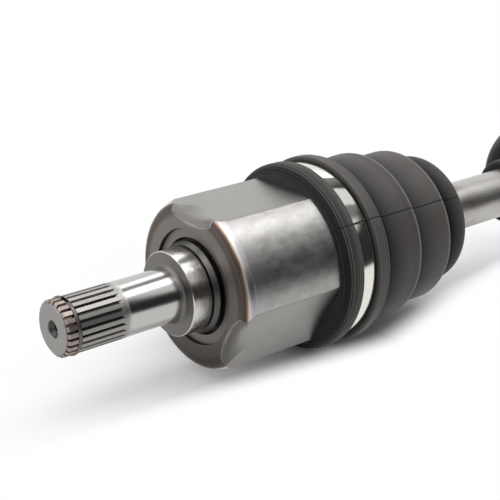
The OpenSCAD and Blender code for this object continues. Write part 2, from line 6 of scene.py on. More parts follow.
import bmesh
import bpy
import numpy as np
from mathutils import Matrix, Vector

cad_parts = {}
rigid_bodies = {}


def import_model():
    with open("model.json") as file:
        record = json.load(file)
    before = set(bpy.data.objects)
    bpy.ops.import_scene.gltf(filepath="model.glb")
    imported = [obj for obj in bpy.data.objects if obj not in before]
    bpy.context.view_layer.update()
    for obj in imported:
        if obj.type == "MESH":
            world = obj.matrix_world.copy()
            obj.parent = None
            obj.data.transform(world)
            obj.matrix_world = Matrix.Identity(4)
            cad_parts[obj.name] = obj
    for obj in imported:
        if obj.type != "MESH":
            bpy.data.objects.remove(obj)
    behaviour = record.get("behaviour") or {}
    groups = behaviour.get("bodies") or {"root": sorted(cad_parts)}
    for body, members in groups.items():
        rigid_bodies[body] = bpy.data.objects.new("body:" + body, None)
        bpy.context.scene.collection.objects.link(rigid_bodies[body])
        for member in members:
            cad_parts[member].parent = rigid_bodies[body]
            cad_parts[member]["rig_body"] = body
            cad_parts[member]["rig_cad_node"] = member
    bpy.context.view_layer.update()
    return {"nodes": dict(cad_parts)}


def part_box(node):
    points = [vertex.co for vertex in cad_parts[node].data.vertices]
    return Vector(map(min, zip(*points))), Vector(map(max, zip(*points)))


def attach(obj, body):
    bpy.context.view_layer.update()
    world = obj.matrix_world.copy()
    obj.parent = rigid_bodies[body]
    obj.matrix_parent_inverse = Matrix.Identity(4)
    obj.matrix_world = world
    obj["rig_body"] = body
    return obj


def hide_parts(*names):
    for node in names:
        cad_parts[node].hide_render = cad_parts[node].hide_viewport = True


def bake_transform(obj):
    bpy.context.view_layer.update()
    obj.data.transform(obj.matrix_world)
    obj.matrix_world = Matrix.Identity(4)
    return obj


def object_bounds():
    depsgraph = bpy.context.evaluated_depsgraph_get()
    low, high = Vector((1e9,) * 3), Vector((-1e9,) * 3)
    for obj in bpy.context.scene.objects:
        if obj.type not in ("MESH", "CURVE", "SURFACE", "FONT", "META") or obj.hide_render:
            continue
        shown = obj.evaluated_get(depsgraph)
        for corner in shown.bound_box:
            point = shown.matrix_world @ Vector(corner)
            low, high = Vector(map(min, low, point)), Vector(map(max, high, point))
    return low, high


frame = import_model()
nodes = frame["nodes"]

# Camera: a long lens close to the stub, looking down along the shaft from the gearbox end. The direction and
# the distance are those at which the stub, housing and boot fall where they do in the photograph.
camera_azimuth = math.radians(-39.17)
camera_elevation = math.radians(21.22)
camera_distance = 0.6045
camera_target = np.array([0.0440, 0.0, 0.0100])
camera_back = np.array([
    math.sin(camera_azimuth) * math.cos(camera_elevation),
    -math.cos(camera_azimuth) * math.cos(camera_elevation),
    math.sin(camera_elevation),
])
camera_data = bpy.data.cameras.new("camera")
camera_data.lens = 89.76
camera_data.sensor_width = 36
camera = bpy.data.objects.new("camera", camera_data)
camera.location = camera_target + camera_distance * camera_back
camera.rotation_euler = (math.pi / 2 - camera_elevation, 0, camera_azimuth)
bpy.context.scene.collection.objects.link(camera)
bpy.context.scene.camera = camera
bpy.context.scene.view_settings.view_transform = "Standard"


class Value:
    """A shader socket in arithmetic: each operator adds the Math node that works it out."""

    def __init__(self, finish, socket):
        self.finish, self.socket = finish, socket

    def math(self, operation, *values):
        return self.finish.node("Math", {"operation": operation}, dict(enumerate(values)))

    def __add__(self, other):
        return self.math("ADD", self, other)

    def __mul__(self, other):
        return self.math("MULTIPLY", self, other)

    def __sub__(self, other):
        return self.math("SUBTRACT", self, other)

    def __rsub__(self, other):
        return self.math("SUBTRACT", other, self)

    def __truediv__(self, other):
        return self.math("DIVIDE", self, other)

    def __abs__(self):
        return self.math("ABSOLUTE", self)

    __radd__ = __add__
    __rmul__ = __mul__

    def root(self):
        return self.math("SQRT", self)

    def sine(self):
        return self.math("SINE", self)

    def least(self, other):
        return self.math("MINIMUM", self, other)

    def most(self, other):
        return self.math("MAXIMUM", self, other)

    def above(self, low, high):
        """0 below low and 1 above high, with a smooth change between them."""
        return self.finish.node("MapRange", {"interpolation_type": "SMOOTHSTEP"},
                                {"Value": self, "From Min": low, "From Max": high})

    def near(self, middle, half):
        """1 where the value is at middle, and 0 from half away."""
        return 1 - abs(self - middle).above(0, half)


class Finish:
    """A material being made: its Principled shader, and one method that adds the nodes that feed it."""

    def __init__(self, name, constants):
        self.material = bpy.data.materials.new(name)
        self.material.use_nodes = True
        self.tree = self.material.node_tree
        self.shader = self.tree.nodes["Principled BSDF"]
        for socket, value in constants.items():
            self.shader.inputs[socket].default_value = value
        self.place = self.node("TexCoord", {}, {}, "Object")

    def node(self, kind, settings, values, output=0):
        made = self.tree.nodes.new("ShaderNode" + kind)
        for name, setting in settings.items():
            if name == "stops":
                self.set_stops(made.color_ramp, setting)
            else:
                setattr(made, name, setting)
        for socket, value in values.items():
            self.put(made.inputs[socket], value)
        return Value(self, made.outputs[output])

    def set_stops(self, ramp, stops):
        while len(ramp.elements) < len(stops):
            ramp.elements.new(0.5)
        for element, (position, colour) in zip(ramp.elements, stops):
            element.position = position
            element.color = (*colour, 1)

    def put(self, socket, value):
        if isinstance(value, Value):
            self.tree.links.new(value.socket, socket)
        elif hasattr(value, "__len__") and len(value) == 3 and socket.type == "RGBA":
            socket.default_value = (*value, 1)
        else:
            socket.default_value = value

    def feed(self, **sockets):
        for name, value in sockets.items():
            self.put(self.shader.inputs[name.replace("_", " ")], value)
        return self

    def show(self, surface):
        """Puts a shader of its own in place of the Principled one."""
        self.put(self.tree.nodes["Material Output"].inputs["Surface"], surface)

    def axes(self):
        """x, y and z of the surface, in millimetres."""
        split = self.node("SeparateXYZ", {}, {0: self.place})
        return [Value(self, socket) * 1000 for socket in split.socket.node.outputs]

    def mix(self, amount, first, second):
        """The second colour over the first, by amount."""
        made = self.node("Mix", {"data_type": "RGBA"}, {0: amount}, 2)
        self.put(made.socket.node.inputs[6], first)
        self.put(made.socket.node.inputs[7], second)
        return made

    def noise(self, scale, detail=3, stretch=(1, 1, 1), roughness=0.5):
        """Cloudy noise from 0 to 1. Its grain is 1/scale mm, longer along an axis where stretch is small."""
        place = self.node("VectorMath", {"operation": "MULTIPLY"},
                          {0: self.place, 1: [1000 * scale * part for part in stretch]})
        return self.node("TexNoise", {}, {"Vector": place, "Scale": 1, "Detail": detail,
                                          "Roughness": roughness}, "Fac")

    def bump(self, height, depth_mm, **normal):
        """A normal that follows height, from 0 to 1, as if it stood depth_mm high."""
        return self.node("Bump", {}, {"Strength": 1, "Distance": depth_mm / 1000, "Height": height, **normal},
                         "Normal")


# Studio: a white floor that the cuffs lie on, running out into plain white, two long soft boxes above, a low fill
# on the left, a dark card in the gap between the boxes, and a dark graded screen round the side that the camera
# is on. Card and screen are seen in polished steel only. Places on the floor are in millimetres.
floor_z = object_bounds()[0][2]
floor_mesh = bpy.data.meshes.new("floor")
floor_half = 4.0
floor_mesh.from_pydata([(x * floor_half, y * floor_half, floor_z) for x, y in
                        ((-1, -1), (1, -1), (1, 1), (-1, 1))], [], [(0, 1, 2, 3)])
floor = bpy.data.objects.new("floor", floor_mesh)
floor_finish = Finish("floor_paper", {"Base Color": (0.86, 0.86, 0.865, 1), "Roughness": 0.9,
                                      "Specular IOR Level": 0.0})
seen = floor_finish.node("LightPath", {}, {}, "Is Camera Ray")
mirrored = floor_finish.node("LightPath", {}, {}, "Is Glossy Ray")
floor_x, floor_y, _ = floor_finish.axes()
shade_x = 100
near_edge_from, near_edge_to = 105, 115
# The floor is painted pure white far from the part and, close by, on the camera's side of a line beside it, where
# it paints light over the lamps' shadow
off_x = (floor_x - shade_x) * 0.85
far_off = (off_x * off_x + floor_y * floor_y).root().above(45, 230)
beside = 0.12 * (near_edge_from - floor_x).most(0) + 0.28 * (floor_x - near_edge_to).most(0)
open_floor = far_off.most((beside - floor_y).above(16, 38))
# Painted shadow: an oval under the part is left without the faint glow that the rest of the floor has
under_x, under_y = 0.55 * (floor_x - shade_x), floor_y + 5
clear = (under_x * under_x + under_y * under_y).root().above(8, 55)
glow = floor_finish.node("Emission", {}, {"Color": (1, 1, 1), "Strength": 0.14 * clear * seen.most(mirrored)})
lit = floor_finish.node("AddShader", {}, {0: Value(floor_finish, floor_finish.shader.outputs[0]), 1: glow})
# In reflections only, the floor turns dark beyond 240 mm on the camera's side: a painted dark reflection
dark_in_reflection = (0 - floor_y).above(240, 400)
white = floor_finish.node("Emission", {}, {"Color": (1, 1, 1), "Strength": seen.most(1 - 0.95 * dark_in_reflection)})
floor_shade = floor_finish.node("MixShader", {}, {0: open_floor * seen.most(mirrored), 1: lit, 2: white})
floor_finish.show(floor_shade)
floor_mesh.materials.append(floor_finish.material)
bpy.context.scene.collection.objects.link(floor)


def soft_box(name, place, aim, size, power):
    """A rectangular soft light at place, turned towards aim."""
    data = bpy.data.lights.new(name, "AREA")
    data.shape = "RECTANGLE"
    data.size, data.size_y = size
    data.energy = power
    lamp = bpy.data.objects.new(name, data)
    lamp.location = place
    away = np.array(place) - np.array(aim)
    lamp.rotation_euler = (math.acos(away[2] / np.linalg.norm(away)), 0, math.atan2(away[0], -away[1]))
    bpy.context.scene.collection.objects.link(lamp)


soft_box("overhead_near", (-0.05, -0.20, 0.95), (-0.05, -0.20, 0.0), (1.9, 0.44), 7.0)
soft_box("overhead_far", (-0.05, 0.60, 0.95), (-0.05, 0.60, 0.0), (1.9, 0.40), 5.0)
soft_box("left_fill", (-0.9, 0.5, 0.35), (0.0, 0.0, 0.0), (0.5, 0.6), 1.2)


def dark_card(name, rows, strength, finish):
    """A matt card seen in polished steel only: rows of points joined by quads, glowing faintly by strength."""
    points = np.array(rows)
    columns = points.shape[1]
    card_mesh = bpy.data.meshes.new(name)
    card_mesh.from_pydata(points.reshape(-1, 3).tolist(), [], [(i, i + 1, i + 1 + columns, i + columns)
                                                               for i in range(columns - 1)])
    card = bpy.data.objects.new(name, card_mesh)
    finish.show(finish.node("Emission", {}, {"Color": (1, 1, 1), "Strength": strength}))
    card_mesh.materials.append(finish.material)
    bpy.context.scene.collection.objects.link(card)
    card.visible_camera = card.visible_diffuse = card.visible_shadow = card.visible_transmission = False


screen_top = 0.952
screen_turns = np.radians(np.linspace(-165, -14, 61))
screen_finish = Finish("dark_screen", {})
screen_x, _, screen_z = screen_finish.axes()
screen_lit = (screen_z - (60 + 0.9 * screen_x.most(590))).above(-150, 170).most(screen_x.above(880, 970))
dark_card("screen", [[(math.cos(turn), math.sin(turn), height) for turn in screen_turns]
                     for height in (floor_z, screen_top)], 0.03 + 0.97 * screen_lit, screen_finish)
gap_height = 0.97
gap_finish = Finish("dark_gap", {})
dark_card("gap_between_lamps", [[(-1.0, y, gap_height), (1.1, y, gap_height)] for y in (0.01, 0.41)], 0.22,
          gap_finish)

world_fill = 0.33
world_seen = 1.0
world = bpy.data.worlds.new("studio")
world.use_nodes = True
bpy.context.scene.world = world
background = world.node_tree.nodes["Background"]
rays = world.node_tree.nodes.new("ShaderNodeLightPath")
plain = world.node_tree.nodes.new("ShaderNodeMath")
plain.operation = "MAXIMUM"
world.node_tree.links.new(rays.outputs["Is Camera Ray"], plain.inputs[0])
world.node_tree.links.new(rays.outputs["Is Glossy Ray"], plain.inputs[1])
level = world.node_tree.nodes.new("ShaderNodeMapRange")
level.inputs["To Min"].default_value = world_fill
level.inputs["To Max"].default_value = world_seen
world.node_tree.links.new(plain.outputs[0], level.inputs["Value"])
world.node_tree.links.new(level.outputs[0], background.inputs["Strength"])
background.inputs["Color"].default_value = (1, 1, 1, 1)


def dress(name, finish):
    """Gives a solid of the frame its finish in place of the plain one."""
    mesh = nodes[name].data
    mesh.materials.clear()
    mesh.materials.append(finish.material)


# Inboard housing: forged steel, turned on the face and the stub, ground on the three lobes and polished where
# the oil seal runs. Hardening leaves its brown and blue colours behind the lobes' front edge, crossed by a pale,
# less metallic line that is a painted highlight of the edge where the grinding starts. Stations are
# millimetres from the stub's tip. Flats and scallops lie at flat_turns, counted from straight down.
tip_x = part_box("inner_housing")[0].x
face_at = 75.5
spline_end = 31.8
seal_from = 61.6
seal_to = 72.2
spline_root_r = 11.7
rim_r = 22.6
recess_r = 28.5
flat_turns = np.radians([60, 180, 300])
flat_dist = 37.4
scallop_r = 36.0
scallop_drop = 6.4
scallop_length = 12.0
scallop_out = flat_dist - scallop_drop + scallop_r
tint_reach = 12


def along(finish):
    """Distance from the stub's tip, and from the shaft's axis, in millimetres, and the two other axes."""
    x, y, z = finish.axes()
    return x - 1000 * tip_x, (y * y + z * z).root(), y, z


steel = (0.44, 0.43, 0.415)
housing = Finish("housing_steel", {"Metallic": 1.0})
s, r, y, z = along(housing)
speckle = housing.noise(1.6, 4, (0.5, 1, 1))
cloud = housing.noise(0.12, 3)
grain = housing.noise(5.0, 2)
# Where each kind of surface lies, from 0 to 1
on_lobe = r.above(35, 36) * s.above(face_at + 0.1, face_at + 0.4)
on_stub = 1 - (s.above(face_at - 1, face_at - 0.9) * r.above(23.2, 23.4)).most(
    s.above(face_at + 0.1, face_at + 0.2) * r.above(19.2, 19.4))
on_face = (1 - s.above(face_at + 0.1, face_at + 1.2)) * (1 - on_stub)
in_recess = (1 - on_stub) * (1 - r.above(recess_r - 0.1, recess_r + 0.1)) * (1 - s.above(84, 85))
recess_wall = in_recess * r.above(recess_r - 0.3, recess_r - 0.2)
in_moat = in_recess * s.above(face_at + 1.75, face_at + 2.1)
on_spline = 1 - s.above(spline_end - 0.6, spline_end)
groove = on_spline * (1 - r.above(spline_root_r + 0.25, spline_root_r + 0.8)) * s.above(0.2, 0.4)
polished = s.above(spline_end + 0.5, spline_end + 1.5) * on_stub
seal_groove = s.above(seal_to - 0.05, seal_to) * (1 - s.above(seal_to + 0.5, seal_to + 0.55)) * on_stub
rim = on_stub * s.above(face_at - 0.45, face_at - 0.25) * r.above(rim_r - 1.0, rim_r - 0.6)
on_collar_face = on_stub * s.above(seal_from - 2.1, seal_from - 1.6) * (
    1 - s.above(seal_from + 0.05, seal_from + 0.15))
on_collar = on_stub * s.above(seal_from + 0.1, seal_from + 0.4) * (1 - s.above(seal_to - 0.3, seal_to))
behind_seal = on_stub * s.above(seal_to + 0.45, seal_to + 0.55)
bronze = on_spline * (1 - s.above(4.9, 5.3)) * s.above(0.35, 0.6) * r.above(10.5, 11)
run_down = 1 - (s - face_at).most(0).least(scallop_length) / scallop_length
scallop_edge = scallop_r + 0.7 - scallop_drop * (1 - run_down * run_down).root()
forged, painted_edge_highlight, forged_y, forged_z = 0, 0, 0, 0
for turn in flat_turns:
    outwards = y * math.sin(turn) - z * math.cos(turn)
    sideways = y * math.cos(turn) + z * math.sin(turn)
    from_axis = outwards - scallop_out
    inside = scallop_edge - (from_axis * from_axis + sideways * sideways).root()
    flat = outwards.above(flat_dist - 0.4, flat_dist - 0.1)
    here = inside.above(0, 0.12).most(flat) * outwards.above(20, 24)
    forged = here.most(forged)
    # A thin line along each scallop's rim, where a highlight is painted
    painted_edge_highlight = (inside.near(0.35, 0.35) * outwards.above(25, 29)).most(painted_edge_highlight)
    forged_y = forged_y + math.sin(turn) * here
    forged_z = forged_z - math.cos(turn) * here
painted_edge_highlight = painted_edge_highlight * (1 - s.above(face_at + 0.1, face_at + 0.3))
forged = forged * s.above(face_at + 0.03, face_at + 0.15)
steep = forged * (1 - s.above(face_at + 0.8, face_at + 3))
# Colours, each laid over those before it
# Hardening colours behind the face, brown and blue; the pale stop at 0.18 is a painted highlight of the edge where
# the ground lobe starts
tint_s = s + 1.2 * (housing.noise(0.06, 1) - 0.5)
tint_and_highlight = housing.node("ValToRGB", {"stops": [
    (0.0, (0.08, 0.06, 0.05)), (0.06, (0.06, 0.042, 0.034)), (0.10, (0.14, 0.09, 0.065)),
    (0.14, (0.42, 0.32, 0.25)), (0.18, (0.76, 0.70, 0.64)), (0.23, (0.56, 0.55, 0.585)),
    (0.31, (0.44, 0.42, 0.43)), (1.0, steel),
]}, {"Fac": (tint_s - face_at) / tint_reach})
# Along that pale line the steel is made less metallic, which keeps the painted highlight bright
tint_and_highlight_line = on_lobe * tint_s.near(face_at + 2.1, 0.8)
blotch = housing.noise(0.22, 5, (0.6, 1, 1), 0.6)
satin = housing.mix(blotch.above(0.35, 0.65), (0.37, 0.36, 0.345), (0.47, 0.46, 0.445))
lobe_colour = housing.mix(s.above(face_at + 6, face_at + 14), tint_and_highlight, satin)
# Painted shade: away from the stub the housing is painted darker towards the bottom, on the turned skin and the
# forged skin
painted_shade_low = (0 - z).above(-12, 40) * (1 - on_stub)
skin = housing.mix(cloud, (0.30, 0.29, 0.275), (0.36, 0.35, 0.335))
turned_skin = housing.mix(cloud, (0.165, 0.148, 0.135), (0.215, 0.196, 0.18))
colour = housing.mix(0.75 * painted_shade_low, turned_skin, (0.035, 0.031, 0.028))
colour = housing.mix(0.7 * on_face * r.above(33.5, 36.6), colour, (0.06, 0.042, 0.034))
colour = housing.mix(on_lobe, colour, lobe_colour)
colour = housing.mix(forged, colour, housing.mix(0.5 * painted_shade_low, skin, (0.10, 0.095, 0.09)))
colour = housing.mix(in_recess, colour, (0.19, 0.172, 0.158))
# Painted shade: the moat round the collar and the recess's wall are painted near black
colour = housing.mix(in_moat.most(recess_wall), colour, (0.03, 0.029, 0.028))
# Painted highlight along the line where the scallops meet the flats
colour = housing.mix(0.5 * painted_edge_highlight * (1 - on_stub) * (1 - in_recess), colour, (0.60, 0.59, 0.57))
colour = housing.mix(on_stub, colour, (0.52, 0.51, 0.495))
colour = housing.mix(on_spline, colour, (0.36, 0.35, 0.335))
colour = housing.mix(1 - s.above(0.2, 0.35), colour, (0.30, 0.293, 0.283))
# The collar's front face is painted darker, a painted shade
colour = housing.mix(on_collar_face, colour, (0.17, 0.162, 0.154))
colour = housing.mix(behind_seal, colour, (0.11, 0.105, 0.10))
colour = housing.mix(on_collar, colour, (0.70, 0.69, 0.67))
# Painted shade on the scallops' steep front next to the face
colour = housing.mix(0.5 * steep, colour, (0.15, 0.14, 0.13))
# Painted shade in the spline's grooves and in the seal groove
colour = housing.mix(groove, colour, (0.07, 0.067, 0.064))
colour = housing.mix(seal_groove, colour, (0.05, 0.049, 0.047))
# Painted highlight on the rim's edge round the collar
colour = housing.mix(rim * r.above(rim_r - 0.35, rim_r - 0.2), colour, (0.55, 0.54, 0.53))
colour = housing.mix(0.75 * bronze, colour, housing.mix(cloud, (0.40, 0.31, 0.27), (0.30, 0.25, 0.23)))
colour = housing.mix(0.25 * (speckle - 0.3).most(0), colour, (0.2, 0.195, 0.19))
# Roughness and relief. The scallops are shaded almost as flat as the flats that they run into
rough = (0.48 - 0.12 * on_lobe - 0.06 * on_stub) + 0.14 * (speckle - 0.5) + 0.16 * on_lobe * (blotch - 0.5)
rough = rough - 0.22 * polished * (1 - behind_seal) * (1 - on_collar_face)
turning = (1 - abs((r * 5.2).sine())) * (on_face + (1 - s.above(0, 0.3)))
collar_lines = housing.noise(6.0, 2, (1, 0.02, 0.02))
relief = 0.5 * grain * (1 - 0.8 * polished) + 0.25 * speckle + 0.5 * turning + 1.4 * on_collar * collar_lines
level_normal = housing.node("CombineXYZ", {}, {0: 0.0, 1: forged_y, 2: forged_z})
own_normal = housing.node("NewGeometry", {}, {}, "Normal")
softened = housing.mix(0.94 * forged, own_normal, level_normal)
housing.feed(Base_Color=colour, Roughness=rough, Metallic=1 - 0.4 * tint_and_highlight_line,
             Normal=housing.bump(relief, 0.035, Normal=softened))
dress("inner_housing", housing)

# Scallops: three dished cuts behind the face, wider than the solid's. Each cutter is a stack of rings on an axis
# outside the flat. Their radius shrinks along a quarter ellipse, scallop_drop deep over scallop_length.
cut_steps = 0.5 * math.pi * np.linspace(0, 0.99, 16)
cut_s = np.concatenate([[face_at - 2], face_at + scallop_length * (1 - np.cos(cut_steps))])[:, None]
cut_r = np.concatenate([[scallop_r], scallop_r - scallop_drop * np.sin(cut_steps)])[:, None]
cut_turns = np.radians(np.arange(0, 360, 1.5))
cut_rings, cut_columns = len(cut_s), len(cut_turns)
cut_points, cut_faces = [], []
for turn in flat_turns:
    cut_out = scallop_out + cut_r * np.cos(cut_turns)
    cut_side = cut_r * np.sin(cut_turns)
    number = np.arange(cut_rings * cut_columns).reshape(cut_rings, -1)
    number = number + len(cut_points) * cut_rings * cut_columns
    beside_it = np.roll(number, -1, axis=1)
    cut_points.append(np.stack([tip_x + np.broadcast_to(cut_s, cut_out.shape) / 1000,
                                (cut_out * math.sin(turn) + cut_side * math.cos(turn)) / 1000,
                                (cut_side * math.sin(turn) - cut_out * math.cos(turn)) / 1000], axis=-1))
    sides = np.stack([number[:-1], beside_it[:-1], beside_it[1:], number[1:]], axis=-1)
    cut_faces += sides.reshape(-1, 4).tolist() + [number[0, ::-1].tolist(), number[-1].tolist()]


def edit_mesh(mesh, change):
    """Makes a change to a mesh through bmesh."""
    edited = bmesh.new()
    edited.from_mesh(mesh)
    change(edited)
    edited.to_mesh(mesh)
    edited.free()


def copy_of(node, name):
    """A copy of a solid of the frame, without the frame's marks, for a shape that takes the solid's place."""
    made = nodes[node].copy()
    made.data = nodes[node].data.copy()
    made.name = name
    made.parent = None
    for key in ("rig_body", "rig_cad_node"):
        del made[key]
    bpy.context.scene.collection.objects.link(made)
    return made


cutter_mesh = bpy.data.meshes.new("scallop_cutter")
cutter_mesh.from_pydata(np.concatenate(cut_points).reshape(-1, 3).tolist(), [], cut_faces)
edit_mesh(cutter_mesh, lambda edited: bmesh.ops.recalc_face_normals(edited, faces=edited.faces))
cutter = bpy.data.objects.new("scallop_cutter", cutter_mesh)
bpy.context.scene.collection.objects.link(cutter)
forging = copy_of("inner_housing", "housing_with_scallops")
edit_mesh(forging.data, lambda edited: bmesh.ops.remove_doubles(edited, verts=edited.verts, dist=1e-7))
scallops = forging.modifiers.new("scallops", "BOOLEAN")
scallops.operation, scallops.object, scallops.solver = "DIFFERENCE", cutter, "EXACT"
bpy.context.view_layer.update()
shaped = bpy.data.meshes.new_from_object(forging.evaluated_get(bpy.context.evaluated_depsgraph_get()))
forging.modifiers.clear()
forging.data = shaped
if "custom_normal" in shaped.attributes:
    shaped.attributes.remove(shaped.attributes["custom_normal"])
shaped.shade_smooth()
shaped.set_sharp_from_angle(angle=math.radians(26))
bpy.data.objects.remove(cutter)
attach(forging, "housing")
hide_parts("inner_housing")

# Rings: black spring steel with a little brown oil on it.
spring_steel = Finish("ring_steel", {"Metallic": 1.0, "Roughness": 0.38})
spring_steel.feed(Base_Color=spring_steel.mix(spring_steel.noise(0.8), (0.10, 0.095, 0.09), (0.2, 0.18, 0.165)))
for name in ("stub_circlip", "spider_snap_ring", "roller_circlips", "roller_washers", "race_snap_ring"):
    dress(name, spring_steel)

# Joint internals: ground bearing steel with a film of grease, and six polished balls.
bearing_steel = Finish("bearing_steel", {"Metallic": 1.0})
bearing_cloud = bearing_steel.noise(0.3, 4)
bearing_steel.feed(Base_Color=bearing_steel.mix(bearing_cloud, (0.42, 0.41, 0.40), (0.6, 0.59, 0.575)),
                   Roughness=0.16 + 0.2 * bearing_cloud)
for name in ("spider", "needle_set_1", "needle_set_2", "needle_set_3", "roller_1", "roller_2", "roller_3",
             "inner_race", "cage"):
    dress(name, bearing_steel)
ball_steel = Finish("ball_steel", {"Metallic": 1.0})
ball_steel.feed(Base_Color=ball_steel.mix(ball_steel.noise(0.5), (0.66, 0.66, 0.66), (0.8, 0.8, 0.8)),
                Roughness=0.06 + 0.05 * ball_steel.noise(1.2))
for name in ("ball_1", "ball_2", "ball_3", "ball_4", "ball_5", "ball_6"):
    dress(name, ball_steel)


# Adapter and inner boot: moulded rubber. The adapter fills the housing's flats under the cuff; the boot has a lip
# and a land beside the band's seat, two folds with sharp rear edges, and a last fold rolled back over its neck.
# The mould leaves a fine parting line along both sides.
def station(mm):
    """Place along the shaft in metres, from its distance to the stub's tip in millimetres."""
    return tip_x + mm / 1000


def mesh_of(name, *grids):
    """A mesh made of grids of points, rows by columns by xyz, each closed on itself both ways: every quad joins
    two neighbouring rows and columns."""
    quads, first = [], 0
    for points in grids:
        rows, columns = points.shape[:2]
        number = first + np.arange(rows * columns).reshape(rows, columns)
        after = np.roll(number, -1, axis=0)
        quads.append(np.stack([number, np.roll(number, -1, axis=1), np.roll(after, -1, axis=1), after],
                              axis=-1).reshape(-1, 4))
        first += rows * columns
    mesh = bpy.data.meshes.new(name)
    mesh.from_pydata(np.concatenate([points.reshape(-1, 3) for points in grids]).tolist(), [],
                     np.concatenate(quads).tolist())
    mesh.shade_smooth()
    mesh.update()
    made = bpy.data.objects.new(name, mesh)
    bpy.context.scene.collection.objects.link(made)
    return made


def curve_through(keys, steps):
    """Catmull-Rom curve through the keys, first and last included: each stretch is the cubic whose slope at a key
    is half the step between that key's two neighbours."""
    keys = np.asarray(keys, float)
    keys = np.concatenate([2 * keys[:1] - keys[1:2], keys, 2 * keys[-1:] - keys[-2:-1]])
    a, b, c, d = (keys[i:len(keys) - 3 + i, None, :] for i in range(4))
    t = (np.arange(steps) / steps)[None, :, None]
    cubic = 2 * b + (c - a) * t + (2 * a - 5 * b + 4 * c - d) * t**2 + (3 * b - a - 3 * c + d) * t**3
    return np.concatenate([0.5 * cubic.reshape(-1, 2), keys[-2:-1]])


parting_turns = (235.2, 55.2)
parting_width = 0.32
parting_depth = 0.22


def painted_shade_and_highlight(outer, edges):
    """For each point of an outline, from 0 to 1: how much painted shade it gets, by the steepest rise from it to
    another point and by how far it lies behind one of the edges, and how much painted highlight, by how sharply it
    turns outwards and how near it is to an edge. An edge is given as [station, direction it faces, length of
    painted shadow behind it]."""
    apart = np.abs(outer[:, None, 0] - outer[None, :, 0])
    deep = np.clip(1.15 * ((outer[None, :, 1] - outer[:, None, 1]) / (apart + 2)).max(axis=1), 0, 1)
    step = np.gradient(outer, axis=0)
    length = np.linalg.norm(step, axis=1)
    heading = np.unwrap(np.arctan2(step[:, 1], step[:, 0]))
    turn = np.gradient(heading) / np.maximum(length, 0.05) * np.sign(outer[0, 0] - outer[-1, 0])
    edge = np.clip(0.45 * np.convolve(turn, (0.25, 0.5, 0.25), "same"), 0, 0.5)
    for at, facing, dark in edges:
        behind = facing * (outer[:, 0] - at)
        shade = np.interp(behind, (-0.1, 0.5, dark, dark + 1.9, dark + 4.4, dark + 7.4, dark + 11.4, dark + 15),
                          (0, 1, 1, 0.75, 0.5, 0.3, 0.12, 0))
        deep = np.maximum(np.where(shade > 0, 0.4 * deep, deep), shade)
        edge = np.maximum(edge, np.exp(-((behind + 0.6) / 0.5) ** 2))
    return deep, edge


def moulded(name, outer, inner, edges=(), columns=180):
    """A ring-shaped shell: the closed profile of [station, radius] in mm, out along outer and back along inner,
    carried round the axis. The radius dips by a narrow bell curve at the two parting lines, where the columns
    stand closer. Its attributes say where it is painted with shade, where with a highlight, and where it is
    parted."""
    profile = np.concatenate([outer, inner[::-1]])
    extra = [turn + side for turn in parting_turns for side in (-1.6, -0.9, -0.5, -0.25, 0, 0.25, 0.5, 0.9, 1.6)]
    turns = np.radians(np.sort(np.concatenate([np.arange(columns) * 360 / columns, extra])))[None, :]
    stations, radii = profile[:, 0, None], profile[:, 1, None]
    dip = sum(np.exp(-(((turns - math.radians(turn)) * radii) / parting_width) ** 2) for turn in parting_turns)
    reach = (radii - parting_depth * dip) / 1000
    made = mesh_of(name, np.stack([np.broadcast_to(station(stations), reach.shape), reach * np.sin(turns),
                                   -reach * np.cos(turns)], axis=-1))
    deep, edge = (np.concatenate([painted_mark, np.zeros(len(inner))])[:, None] for painted_mark in painted_shade_and_highlight(outer, edges))
    for attribute, values in (("deep", deep), ("edge", edge), ("seam", dip)):
        made.data.attributes.new(attribute, "FLOAT", "POINT").data.foreach_set(
            "value", np.broadcast_to(values, reach.shape).ravel().astype(np.float32))
    return made


def rubber_finish(name, low, high, roughness):
    """Moulded rubber: a faint bloom in clouds, painted near black as shade in the sheltered valleys and painted
    lighter along the edges as a highlight, with a fine grain and a dark parting line."""
    finish = Finish(name, {"Specular IOR Level": 0.35})
    deep, edge, seam = (finish.node("Attribute", {"attribute_name": attribute}, {}, "Fac")
                        for attribute in ("deep", "edge", "seam"))
    bloom = finish.noise(0.05, 4)
    dust = finish.noise(1.1, 5)
    fine = finish.noise(3.5, 3)
    colour = finish.mix(0.6 * bloom + 0.4 * dust, low, high)
    # Painted shade: near black in the sheltered valleys and behind the edges; painted highlight: lighter along the
    # edges
    colour = finish.mix(deep, colour, (0.004, 0.004, 0.004))
    colour = finish.mix((0.35 + 0.9 * dust) * edge.above(0.15, 0.75), colour, (0.20, 0.19, 0.18))
    colour = finish.mix(seam, colour, (0.003, 0.003, 0.003))
    relief = 0.7 * fine + 0.5 * dust
    return finish.feed(Base_Color=colour, Roughness=roughness + 0.14 * (dust - 0.5) + 0.3 * deep.most(seam),
                       Normal=finish.bump(relief, 0.03))


boot_rubber = rubber_finish("boot_rubber", (0.064, 0.059, 0.055), (0.106, 0.097, 0.091), 0.50)
# The adapter is painted far darker than the boot, a painted shade of its place under the cuff
adapter_rubber = rubber_finish("adapter_rubber", (0.012, 0.012, 0.012), (0.024, 0.024, 0.024), 0.5)
dress("boot_adapter", adapter_rubber)

cuff_from = 132.5
cuff_to = 160.1
cuff_inner = 43.35
seat_r = 44.6
lip_r = 47.55
land_r = 48.12
band_from = 143.4
band_width = 8.4
bar_r = 13.3
neck_r = 16.8
boot_wall = 2.2
split_s = cuff_to + 28.4
valley_1, valley_2, valley_3 = 39.2, 36.2, 26.6
crest_1, crest_2 = 43.8, 40.4


